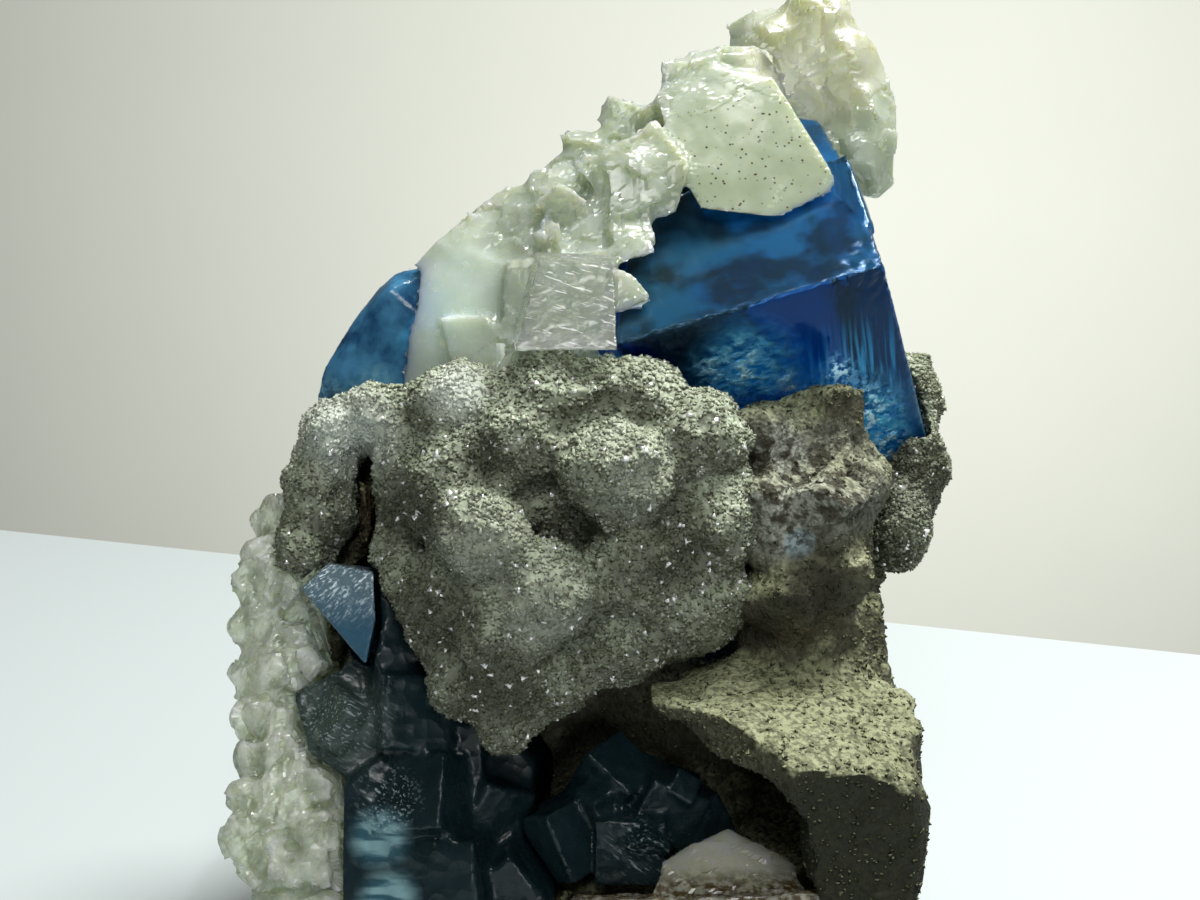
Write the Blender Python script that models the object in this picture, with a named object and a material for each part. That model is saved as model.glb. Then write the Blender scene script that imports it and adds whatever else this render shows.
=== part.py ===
"""Blue fluorite crystals with calcite and a quartz druse on matrix rock, cut flat below.

Metres, +Z up. The origin lies on the flat underside, and the front of the specimen faces -Y.
The pieces are laid out as they are seen from the front, a little from above: a place is given
by its millimetres to the right and up in that view, and by its depth behind the view's middle.
"""
import math
import random

import bmesh
import bpy
from mathutils import Matrix, Vector, noise

MM = 0.001
GAP = 0.3 * MM
WELD = 0.002 * MM

# The room cut for a cluster of many blocks
FEW_BLOCKS = 4
BED_SLACK = 0.1 * MM
BED_VOXEL = 0.35 * MM
BED_DETAIL = 0.025
SEED = 7

# The front view that the places are given in
VIEW_TILT = math.radians(15)
VIEW_DISTANCE = 100.0
VIEW_MIDDLE = Vector((1.2, -2.6, 30.5))
VIEW_RIGHT = Vector((1, 0, 0))
VIEW_UP = Vector((0, math.sin(VIEW_TILT), math.cos(VIEW_TILT)))
VIEW_BACK = Vector((0, math.cos(VIEW_TILT), -math.sin(VIEW_TILT)))

# Driving sizes, in millimetres
FOOT_WIDTH = 30.0
FOOT_DEPTH = 25.0
CROWN_THICKNESS = 9.0

# Fineness of the rough bodies
ROCK_VOXEL = 0.6 * MM
ROCK_FACES = 1750
DRUSE_VOXEL = 0.5 * MM
DRUSE_FACES = 1250
RIM_FACES = 240
PEAK_FACES = 440

# The block that cuts the underside flat
CUT_SIZE = 200 * MM


def seen(right, up, back):
    """The place seen at (right, up) in the front view, back millimetres behind the middle."""
    spread = 1 + back / VIEW_DISTANCE
    place = VIEW_RIGHT * right * spread + VIEW_UP * up * spread + VIEW_BACK * back
    return (VIEW_MIDDLE + place) * MM


def turned(right, up, back):
    """The unit direction with these parts in the front view."""
    return (VIEW_RIGHT * right + VIEW_UP * up + VIEW_BACK * back).normalized()


def seen_on(face, right, up):
    """The place on a face, given as (point, normal), that is seen at (right, up)."""
    point, normal = face
    eye = seen(0, 0, -VIEW_DISTANCE)
    sight = seen(right, up, 0) - eye
    return eye + sight * ((point - eye).dot(normal) / sight.dot(normal))


def outline_on(face, outline):
    return [seen_on(face, right, up) for right, up in outline]


def mesh_from(bm, name):
    mesh = bpy.data.meshes.new(name)
    bm.to_mesh(mesh)
    bm.free()
    return mesh


def hull(points):
    """The convex block round the points, with its flat faces whole."""
    bm = bmesh.new()
    for point in points:
        bm.verts.new(point)
    bmesh.ops.convex_hull(bm, input=bm.verts)
    loose = [vert for vert in bm.verts if not vert.link_faces]
    bmesh.ops.delete(bm, geom=loose, context="VERTS")
    bmesh.ops.dissolve_limit(bm, angle_limit=math.radians(1), verts=bm.verts, edges=bm.edges)
    bmesh.ops.recalc_face_normals(bm, faces=bm.faces)
    return mesh_from(bm, "block")


def slab(outline, depth):
    """The block between an outline in space and its copy moved by depth."""
    return hull(outline + [point + depth for point in outline])


def grown(block, gap):
    """A convex block with each of its faces pushed out by the gap."""
    corners = [vert.co for vert in block.vertices]
    middle = sum(corners, Vector()) / len(corners)
    reach = 4 * max((corner - middle).length for corner in corners)
    bm = bmesh.new()
    bmesh.ops.create_cube(bm, size=reach, matrix=Matrix.Translation(middle))
    for face in block.polygons:
        everything = list(bm.verts) + list(bm.edges) + list(bm.faces)
        cut = bmesh.ops.bisect_plane(
            bm, geom=everything, dist=1e-8, plane_co=face.center + face.normal * gap,
            plane_no=face.normal, clear_outer=True)
        rim = [item for item in cut["geom_cut"] if isinstance(item, bmesh.types.BMEdge)]
        if rim:
            bmesh.ops.edgeloop_fill(bm, edges=rim)
    bmesh.ops.recalc_face_normals(bm, faces=bm.faces)
    return mesh_from(bm, "grown block")


def helper(mesh, name="helper"):
    """A hidden object for a mesh, used to cut or to join."""
    obj = bpy.data.objects.new(name, mesh)
    bpy.context.scene.collection.objects.link(obj)
    obj.hide_render = True
    obj.display_type = "WIRE"
    return obj


def settled(obj):
    """The mesh of a helper with its modifiers applied. The helper is removed."""
    graph = bpy.context.evaluated_depsgraph_get()
    mesh = bpy.data.meshes.new_from_object(obj.evaluated_get(graph))
    bpy.data.objects.remove(obj)
    return mesh


def joined(meshes):
    """All the meshes as separate shells of one mesh."""
    bm = bmesh.new()
    for mesh in meshes:
        bm.from_mesh(mesh)
    return mesh_from(bm, "shells")


def with_boolean(mesh, other, operation):
    body = helper(mesh)
    tool = helper(other)
    modifier = body.modifiers.new("Boolean", "BOOLEAN")
    modifier.operation = operation
    modifier.solver = "EXACT"
    modifier.use_self = True
    modifier.object = tool
    result = settled(body)
    bpy.data.objects.remove(tool)
    return result


def fused(blocks):
    """One solid from blocks that overlap."""
    if len(blocks) == 1:
        return blocks[0]
    return with_boolean(blocks[0], joined(blocks[1:]), "UNION")


def box_of(mesh):
    places = [vert.co for vert in mesh.vertices]
    low = Vector([min(place[axis] for place in places) for axis in range(3)])
    high = Vector([max(place[axis] for place in places) for axis in range(3)])
    return low, high


def boxes_meet(mesh, other):
    low, high = box_of(mesh)
    other_low, other_high = box_of(other)
    return all(low[axis] < other_high[axis] and other_low[axis] < high[axis] for axis in range(3))


def cut(mesh, tools):
    """The mesh with each group of cutting shells taken away."""
    for tool in tools:
        if boxes_meet(mesh, tool):
            mesh = with_boolean(mesh, tool, "DIFFERENCE")
    return mesh


def largest_body(mesh):
    """Only the largest connected body, so that no crumb floats."""
    bm = bmesh.new()
    bm.from_mesh(mesh)
    bmesh.ops.remove_doubles(bm, verts=bm.verts, dist=WELD)
    bmesh.ops.dissolve_degenerate(bm, edges=bm.edges, dist=WELD)
    todo = set(bm.faces)
    bodies = []
    while todo:
        body = set()
        front = [todo.pop()]
        while front:
            face = front.pop()
            body.add(face)
            for edge in face.edges:
                for near in edge.link_faces:
                    if near in todo:
                        todo.remove(near)
                        front.append(near)
        bodies.append(body)
    bodies.sort(key=len)
    crumbs = [face for body in bodies[:-1] for face in body]
    bmesh.ops.delete(bm, geom=crumbs, context="FACES")
    bmesh.ops.triangulate(bm, faces=bm.faces)
    return mesh_from(bm, "body")


def roughened(mesh, scale, amount, seed):
    """The mesh with its points moved along their normals by lumpy noise."""
    bm = bmesh.new()
    bm.from_mesh(mesh)
    bm.normal_update()
    shift = Vector((seed, seed * 2, seed * 3))
    moves = []
    for vert in bm.verts:
        place = vert.co / (scale * MM) + shift
        broad = noise.noise(place)
        sharp = 0.5 - noise.voronoi(place * 1.7)[0][0]
        moves.append(vert.normal * (broad + sharp) * amount * MM)
    for vert, move in zip(bm.verts, moves):
        vert.co += move
    return mesh_from(bm, "rough")


def weathered(blocks, voxel, faces, scale, amount, seed):
    """One rough faceted body from overlapping blocks and lumps."""
    obj = helper(joined(blocks))
    remesh = obj.modifiers.new("Remesh", "REMESH")
    remesh.mode = "VOXEL"
    remesh.voxel_size = voxel
    rough = roughened(settled(obj), scale, amount, seed)
    count = sum(len(face.vertices) - 2 for face in rough.polygons)
    obj = helper(rough)
    decimate = obj.modifiers.new("Decimate", "DECIMATE")
    decimate.ratio = min(1.0, faces / count)
    decimate.use_collapse_triangulate = True
    return largest_body(settled(obj))


def swollen(mesh, gap):
    """A rough body moved out along its normals, to cut its bed in a neighbour."""
    obj = helper(mesh.copy())
    displace = obj.modifiers.new("Displace", "DISPLACE")
    displace.strength = gap
    displace.mid_level = 0
    return settled(obj)


def bed_for(blocks):
    """The room that a crystal takes in its neighbours. A cluster's room has no slits."""
    if len(blocks) <= FEW_BLOCKS:
        return joined([grown(block, GAP) for block in blocks])
    obj = helper(joined([grown(block, GAP + BED_SLACK) for block in blocks]))
    remesh = obj.modifiers.new("Remesh", "REMESH")
    remesh.mode = "VOXEL"
    remesh.voxel_size = BED_VOXEL
    decimate = obj.modifiers.new("Decimate", "DECIMATE")
    decimate.ratio = BED_DETAIL
    decimate.use_collapse_triangulate = True
    return settled(obj)


def lump(middle, radii, turn=0.0):
    """An egg-shaped lump with its middle at a place in the front view."""
    bm = bmesh.new()
    bmesh.ops.create_icosphere(bm, subdivisions=3, radius=MM)
    stretch = Matrix.Diagonal((*radii, 1))
    view = Matrix((VIEW_RIGHT, VIEW_BACK, VIEW_UP)).transposed().to_4x4()
    roll = Matrix.Rotation(turn, 4, "Y")
    place = Matrix.Translation(seen(*middle))
    bmesh.ops.transform(bm, matrix=place @ view @ roll @ stretch, verts=bm.verts)
    return mesh_from(bm, "lump")


def broken_block(middle, size, seed, lean):
    """A block with sheared faces round a place, turned by chance."""
    chance = random.Random(seed)
    half = [length / 2 * MM for length in size]
    axis = Vector([chance.gauss(0, 1) for _ in range(3)])
    turn = Matrix.Rotation(chance.uniform(0, math.tau), 3, axis)
    points = []
    for x in (-1, 1):
        for y in (-1, 1):
            for z in (-1, 1):
                wide, deep, tall = x * half[0], y * half[1], z * half[2]
                points.append(middle + turn @ Vector((wide + lean * deep, deep + lean * tall, tall)))
    return hull(points)


def rhomb(middle, size, seed, lean=0.35):
    """A small calcite rhomb with its middle at a place in the front view."""
    return broken_block(seen(*middle), size, seed, lean)


# Fluorite

CROWN_CORNER = seen(14.25, 9.25, 0.5)
CROWN_UPPER = (CROWN_CORNER, turned(-0.154, 0.733, -0.663))
CROWN_LOWER = (CROWN_CORNER, turned(0.261, -0.618, -0.740))
CROWN_UPPER_OUTLINE = [(14.25, 9.25), (13.5, 11.25), (12.4, 14.1), (11, 16.5), (9.8, 16.7),
                       (1.5, 11.0), (0.7, 5.3)]
CROWN_LOWER_OUTLINE = [(14.25, 9.25), (15.6, 3.5), (16.4, 0.5), (16.2, -0.9), (15.2, -1.3),
                       (13.2, -0.9), (3.5, 1.5), (0.7, 5.3)]


def crown_blocks():
    """The large cube: two faces that meet in the slanting edge, and a grown step at its right."""
    upper = outline_on(CROWN_UPPER, CROWN_UPPER_OUTLINE)
    lower = outline_on(CROWN_LOWER, CROWN_LOWER_OUTLINE)
    inward = turned(-0.2, -0.1, 1) * CROWN_THICKNESS * MM
    back = [point + inward for point in upper + lower]
    body = hull(upper + lower + back)
    step = slab([seen(13.4, 11.6, 3.4), seen(12.3, 14.9, 6.6), seen(12.75, 13.9, 7.0),
                 seen(13.9, 10.9, 3.6)], turned(-0.9, -0.3, 0.4) * 4 * MM)
    return [body, step]


def shoulder_blocks():
    """The crystal behind the calcite at the upper left, with a worn round outline."""
    outline = [(-10.2, 8.9), (-11.2, 8.0), (-12.3, 6.6), (-13.2, 5.2), (-13.9, 4.0), (-14.2, 2.4),
               (-9.5, 1.6), (-6.0, 5.0), (-7.0, 9.6)]
    front = [seen(right, up, 5 + 0.12 * (right + 14)) for right, up in outline]
    inner = [(-10.6, 8.1), (-12.6, 5.2), (-13.3, 3.0), (-9.5, 2.4), (-8, 6)]
    face = [seen(right, up, 4.2) for right, up in inner]
    back = [point + turned(0.35, -0.1, 1) * 6 * MM for point in front]
    return [hull(front + face + back)]


def corner_blocks():
    """The small corner crystal, pointed below, with a glittering slanted top."""
    tip = seen(-11.7, -10.8, 0.2)
    face = [seen(-15.0, -6.9, 1.6), seen(-13.6, -5.6, 2.4), seen(-11.3, -6.1, 1.0), seen(-11.2, -8.4, 0.4)]
    back = [seen(-14.5, -7.5, 6), seen(-11.5, -5.8, 6), seen(-11.3, -10.0, 6)]
    return [hull([tip] + face + back)]


def recess_blocks():
    """Dark cubes grown together in the lower hollow, with the banded edge at their left."""
    upper = slab([seen(-12.2, -6.0, 3.2), seen(-6.4, -6.2, 4.2), seen(-5.6, -15.5, 3.6),
                  seen(-10.9, -16.9, 2.0), seen(-12.6, -11.5, 2.4)], turned(0, 0, 1) * 7 * MM)
    lower = slab([seen(-10.8, -16.6, 1.4), seen(-6.0, -12.2, 3.4), seen(-3.2, -15.6, 3.6),
                  seen(-4.6, -24.8, 2.2), seen(-9.3, -25.2, 0.6)], turned(0.1, 0, 1) * 8 * MM)
    band = slab([seen(-12.9, -16.8, 0.6), seen(-10.9, -15.2, 0.9), seen(-9.7, -18.6, 0.0),
                 seen(-9.0, -24.8, -0.8), seen(-12.9, -25.0, -0.6)], turned(0.1, 0, 1) * 7 * MM)
    glitter = slab([seen(-15.4, -12.2, 2.2), seen(-12.6, -10.8, 2.6), seen(-10.0, -14.6, 1.8),
                    seen(-11.6, -17.2, 1.0), seen(-14.6, -15.2, 1.4)], turned(0.1, 0, 1) * 7 * MM)
    places = [((-10.4, -9.4, 3.0), 3.6, 61), ((-8.0, -10.6, 4.0), 3.4, 62), ((-9.6, -13.0, 2.2), 3.8, 63),
              ((-7.2, -14.6, 3.4), 3.4, 64), ((-8.6, -17.6, 1.4), 4.0, 65), ((-5.6, -17.8, 3.2), 3.2, 66),
              ((-7.6, -21.4, 1.2), 4.4, 67), ((-4.6, -21.8, 2.2), 3.6, 68), ((-12.6, -13.6, 2.0), 2.8, 69)]
    cubes = [rhomb(middle, (size, size, size), seed, lean=0.04) for middle, size, seed in places]
    return [upper, lower, band, glitter] + cubes


def chip_blocks():
    """Dark blue chips at the back of the hollow."""
    places = [((0.6, -16.6, 3.4), (3.2, 3.6, 2.8), 3), ((3.2, -17.6, 2.8), (3.4, 3.0, 3.2), 8),
              ((1.6, -19.6, 2.0), (3.6, 3.2, 3.4), 12), ((-1.4, -19.2, 3.0), (3.8, 4.4, 3.2), 21),
              ((4.8, -18.4, 3.6), (2.8, 2.6, 2.8), 5), ((-0.2, -17.6, 2.0), (1.7, 1.6, 1.8), 31),
              ((2.4, -19.4, 0.6), (1.8, 1.5, 1.6), 33), ((4.0, -16.9, 1.8), (1.6, 1.5, 1.5), 36)]
    return [rhomb(middle, size, seed, lean=0.05) for middle, size, seed in places]


# Calcite

PLATE_FRONT = (seen(7, 12.3, 4.2), turned(0.10, 0.40, -1))


def ridge_blocks():
    """The calcites of the ridge: the smooth plate, the rough ones beside it and the milky mass."""
    plate_outline = [(2.8, 17.4), (5.1, 19.4), (8.7, 18.7), (10.0, 16.3), (11.9, 13.6), (12.1, 12.6),
                     (9.7, 11.5), (5.0, 12.0), (3.9, 14.0)]
    plate = slab(outline_on(PLATE_FRONT, plate_outline), turned(0.05, 0.15, 1) * 3.4 * MM)
    crest = hull([seen(2.6, 17.6, 6), seen(5.2, 19.7, 7), seen(8.6, 20.4, 10), seen(6, 15, 12),
                  seen(10, 17.5, 12), seen(1, 14, 10), seen(4.4, 20.1, 9)])
    facet = hull([seen(2.8, 16.8, 4.4), seen(4.6, 14.2, 3.4), seen(3.9, 11.7, 3.6), seen(2.0, 11.3, 3.4),
                  seen(0.2, 14.6, 4.0), seen(3.5, 14.5, 9), seen(0.5, 12.5, 8)])
    bright = hull([seen(0.1, 15.0, 3.2), seen(3.1, 16.4, 4.2), seen(3.2, 12.4, 2.8), seen(0.4, 11.5, 2.4),
                   seen(1.0, 15.5, 8), seen(3.0, 12.5, 8), seen(0.0, 12.0, 8)])
    left = hull([seen(-1.4, 15.4, 5.6), seen(0.8, 16.6, 6.0), seen(1.2, 12.0, 3.4), seen(-2.6, 11.4, 3.2),
                 seen(-3.8, 13.6, 5.0), seen(-1, 14, 10), seen(1, 12, 10)])
    upper_mass = hull([seen(-4.6, 13.4, 5.4), seen(-1.4, 13.4, 4.4), seen(-1.8, 9.6, 2.6),
                       seen(-5.0, 7.6, 2.4), seen(-8.4, 10.4, 4.6), seen(-3.5, 12.0, 11),
                       seen(-7.4, 9.6, 10), seen(-2, 9, 10)])
    lower_mass = hull([seen(-8.2, 10.6, 4.8), seen(-10.4, 8.2, 5.0), seen(-10.3, 5.2, 4.2),
                       seen(-9.6, 1.8, 3.4), seen(-8.4, 1.4, 2.8), seen(-4.6, 5.0, 1.8),
                       seen(-4.2, 9.2, 2.6), seen(-8.6, 6.0, 3.0), seen(-8.0, 9.0, 9.0),
                       seen(-8.6, 3.6, 8.0), seen(-4, 6, 9)])
    facet_low = hull([seen(-8.1, 6.7, 2.4), seen(-5.8, 6.9, 1.6), seen(-4.2, 5.6, 1.0),
                      seen(-4.5, 2.8, 0.4), seen(-7.2, 2.6, 1.4), seen(-5, 6, 7), seen(-7, 4, 7)])
    seat = hull([seen(-4.9, 9.6, 1.7), seen(0.8, 10.2, 1.6), seen(1.4, 6.0, 0.4), seen(1.0, 3.6, 0.6),
                 seen(-5.0, 3.5, 0.9), seen(-4, 9, 8), seen(0.4, 9, 8), seen(0, 4, 7), seen(-4, 4, 7)])
    blades = [hull([seen(0.2, 11.2, 2.2), seen(2.0, 11.5, 2.4), seen(3.0, 9.9, 1.2), seen(1.2, 9.3, 1.0),
                    seen(0.6, 10.4, 6), seen(2.2, 10.4, 5)]),
              hull([seen(0.4, 9.2, 0.4), seen(1.4, 9.0, 0.6), seen(2.8, 7.4, 0.2), seen(0.9, 5.6, 0.0),
                    seen(0.4, 7.2, 0.2), seen(0.8, 7.4, 4.0), seen(1.8, 7.6, 3.2)])]
    middle_mass = hull([seen(-2.4, 12.8, 3.6), seen(2.6, 12.6, 3.4), seen(2.8, 10.1, 2.2),
                        seen(0.6, 9.2, 1.8), seen(-1.8, 9.2, 2.0), seen(-1, 11, 9), seen(2.2, 11, 7)])
    tops = [((-0.8, 15.2, 6.4), 2.1, 2), ((1.4, 16.8, 6.8), 2.2, 4), ((4.0, 19.0, 7.6), 2.0, 6),
            ((7.0, 19.3, 9.0), 2.2, 9), ((-2.8, 13.3, 6.0), 1.9, 11), ((-6.0, 11.0, 5.2), 1.8, 14),
            ((-1.8, 12.2, 3.4), 2.0, 17), ((2.6, 15.4, 4.4), 1.6, 19), ((-2.6, 10.6, 2.2), 1.8, 23),
            ((-0.4, 13.8, 4.0), 1.9, 29)]
    rough = [rhomb(middle, (size, size * 0.8, size * 0.7), seed) for middle, size, seed in tops]
    masses = [plate, crest, facet, bright, left, upper_mass, lower_mass, middle_mass, facet_low, seat]
    return masses + blades + rough


def front_rhomb_blocks():
    """The clear cleavage rhomb in front of the ridge."""
    front = [seen(-3.05, 9.5, -1.2), seen(0.7, 9.3, -1.4), seen(0.9, 4.9, -3.2), seen(-4.3, 4.9, -3.0)]
    return [slab(front, turned(-0.12, 0.30, 1) * 2.6 * MM)]


def peak_lumps():
    """The calcite cluster behind the top: rounded masses grown together, pointed at the lower right."""
    return [
        lump((8.6, 20.2, 14.0), (2.5, 3.6, 2.3), 0.3),
        lump((10.6, 21.4, 14.6), (2.5, 3.4, 2.2)),
        lump((11.6, 19.0, 14.4), (2.9, 3.8, 2.6), 0.4),
        lump((13.2, 17.2, 14.0), (1.9, 3.2, 2.5), -0.2),
        lump((12.4, 15.4, 14.2), (1.9, 3.0, 2.2)),
        lump((13.7, 14.6, 13.6), (1.3, 2.4, 2.6), 0.2),
        lump((9.6, 18.0, 15.4), (3.2, 3.6, 3.0)),
        lump((11.0, 16.8, 17.6), (3.2, 3.2, 3.2)),
    ]


FRILL_PATH = [(-15.6, -2.2, 5.0), (-16.7, -5.0, 4.4), (-17.1, -8.4, 3.6), (-17.0, -11.6, 2.6),
              (-17.2, -15.0, 1.6), (-17.6, -17.6, 0.6), (-16.9, -20.8, 0.0), (-16.6, -24.4, 0.6)]
FRILL_WIDTHS = (2.4, 2.6, 2.8, 3.0, 3.6, 4.4, 5.0, 5.2)
PETAL_COLUMNS = (2, 2, 2, 2, 2, 2, 3, 3, 3, 4, 4)
PETAL_STEP = 1.5
PETAL_CORNERS = 6
PETAL_DEPTH = 1.5 * MM


def along_path(path, share):
    """The place at a share of the way along a path of places."""
    step = share * (len(path) - 1)
    index = min(int(step), len(path) - 2)
    start = Vector(path[index])
    return start.lerp(Vector(path[index + 1]), step - index)


def petal(middle, size, chance):
    """A rounded thin blade, leaning a little, that faces the front."""
    lean = chance.uniform(-0.6, 0.2)
    outline = []
    for corner in range(PETAL_CORNERS):
        angle = math.tau * (corner + chance.uniform(-0.25, 0.25)) / PETAL_CORNERS
        aside = size * math.cos(angle)
        above = size * 0.85 * math.sin(angle)
        outline.append(seen(middle.x + aside, middle.y + above, middle.z + lean * aside))
    return slab(outline, turned(chance.uniform(-0.3, 0.3), chance.uniform(-0.3, 0.3), 1) * PETAL_DEPTH)


def frill_blocks():
    """Rounded calcite blades, grown over each other down the left side, on a backing that widens below."""
    backing = []
    for index in range(len(FRILL_PATH) - 1):
        front = []
        for place, width in list(zip(FRILL_PATH, FRILL_WIDTHS))[index:index + 2]:
            front += [seen(place[0] - 0.4, place[1], place[2] + 0.4),
                      seen(place[0] + width, place[1], place[2] + 0.9)]
        backing.append(hull(front + [point + VIEW_BACK * 7 * MM for point in front]))
    chance = random.Random(SEED)
    petals = []
    for row, columns in enumerate(PETAL_COLUMNS):
        for column in range(columns):
            place = along_path(FRILL_PATH, (row + 0.5) / len(PETAL_COLUMNS))
            place += Vector((PETAL_STEP * column, chance.uniform(-0.5, 0.5), chance.uniform(-0.6, 0.1)))
            petals.append(petal(place, chance.uniform(1.1, 1.7), chance))
    return backing + petals


def calcite_foot_blocks():
    """The cream calcite that closes the hollow below."""
    shelf = hull([seen(3.0, -20.4, -0.6), seen(6.4, -18.7, 1.0), seen(9.9, -20.6, 0.0),
                  seen(10.2, -22.8, -2.6), seen(2.4, -22.4, -2.6), seen(3.0, -24.8, 2.0),
                  seen(9.6, -24.6, 2.0), seen(6.2, -19.6, 5.4)])
    front = hull([seen(-1.6, -22.6, -3.4), seen(12.6, -22.0, -4.2), seen(12.8, -24.6, -4.2),
                  seen(-2.2, -25.0, -3.4), seen(-1.4, -22.2, 2.0), seen(12.4, -21.8, 0.0),
                  seen(12.4, -24.8, 2.0), seen(-1.6, -24.8, 3.0)])
    return [shelf, front]


# Druse

def druse_lumps():
    """The sugary quartz crust: a broad mound with smaller lobes and a hanging tip."""
    return [
        lump((-1.0, -1.2, 3.0), (7.4, 5.0, 6.2)),
        lump((-6.8, 2.0, 1.4), (3.0, 3.6, 2.6), 0.4),
        lump((-2.4, 2.8, 0.2), (3.2, 3.8, 2.4)),
        lump((1.4, 3.0, 0.0), (2.8, 3.4, 1.9)),
        lump((-3.8, 0.6, -1.6), (2.6, 3.0, 2.4)),
        lump((0.8, -1.2, -3.8), (2.9, 2.9, 2.6)),
        lump((4.6, 0.6, -0.8), (2.3, 3.4, 2.5)),
        lump((5.2, -3.4, 0.2), (2.2, 4.0, 3.0)),
        lump((-5.9, -4.0, -3.8), (2.6, 2.8, 2.2), 0.4),
        lump((-7.4, -2.0, -0.6), (2.4, 3.4, 3.0)),
        lump((-2.6, -7.0, -4.2), (2.4, 2.8, 2.5)),
        lump((1.8, -5.6, -1.2), (2.8, 3.4, 3.0)),
        lump((-4.8, -9.2, -2.4), (2.3, 3.2, 3.4), -0.3),
        lump((4.4, -7.6, 1.0), (2.8, 4.0, 2.9)),
        lump((-5.1, -12.4, -1.0), (1.8, 2.8, 3.0), -0.25),
        lump((-2.6, -10.8, 0.0), (2.5, 3.4, 2.8), 0.3),
        lump((0.8, -9.0, 1.0), (3.2, 3.8, 2.8)),
        lump((-9.4, -1.0, 3.6), (2.0, 4.2, 3.6)),
        lump((-9.8, -5.4, 4.0), (1.8, 3.6, 4.4), 0.3),
        lump((-10.6, 1.8, 4.4), (2.6, 3.8, 1.8), -0.2),
        lump((-13.2, 0.9, 4.8), (2.0, 3.8, 1.9), -0.3),
        lump((-13.9, -2.2, 5.4), (2.1, 4.0, 3.2)),
        lump((-14.8, -4.8, 4.8), (1.8, 3.6, 2.2)),
        lump((-15.4, -8.6, 4.6), (1.5, 2.6, 2.6)),
        lump((-7.9, -7.4, -0.2), (1.9, 3.2, 3.2), 0.4),
        lump((-6.6, -10.8, -0.4), (1.8, 3.0, 2.8), 0.3),
    ]


def rim_lumps():
    """The druse behind the large cube at the far right."""
    return [
        lump((15.4, 2.6, 11.5), (1.9, 2.8, 2.6)),
        lump((15.7, -0.8, 10.6), (2.0, 3.2, 3.0)),
        lump((14.9, -3.8, 8.8), (2.0, 3.4, 2.6)),
    ]


# Matrix

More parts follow.
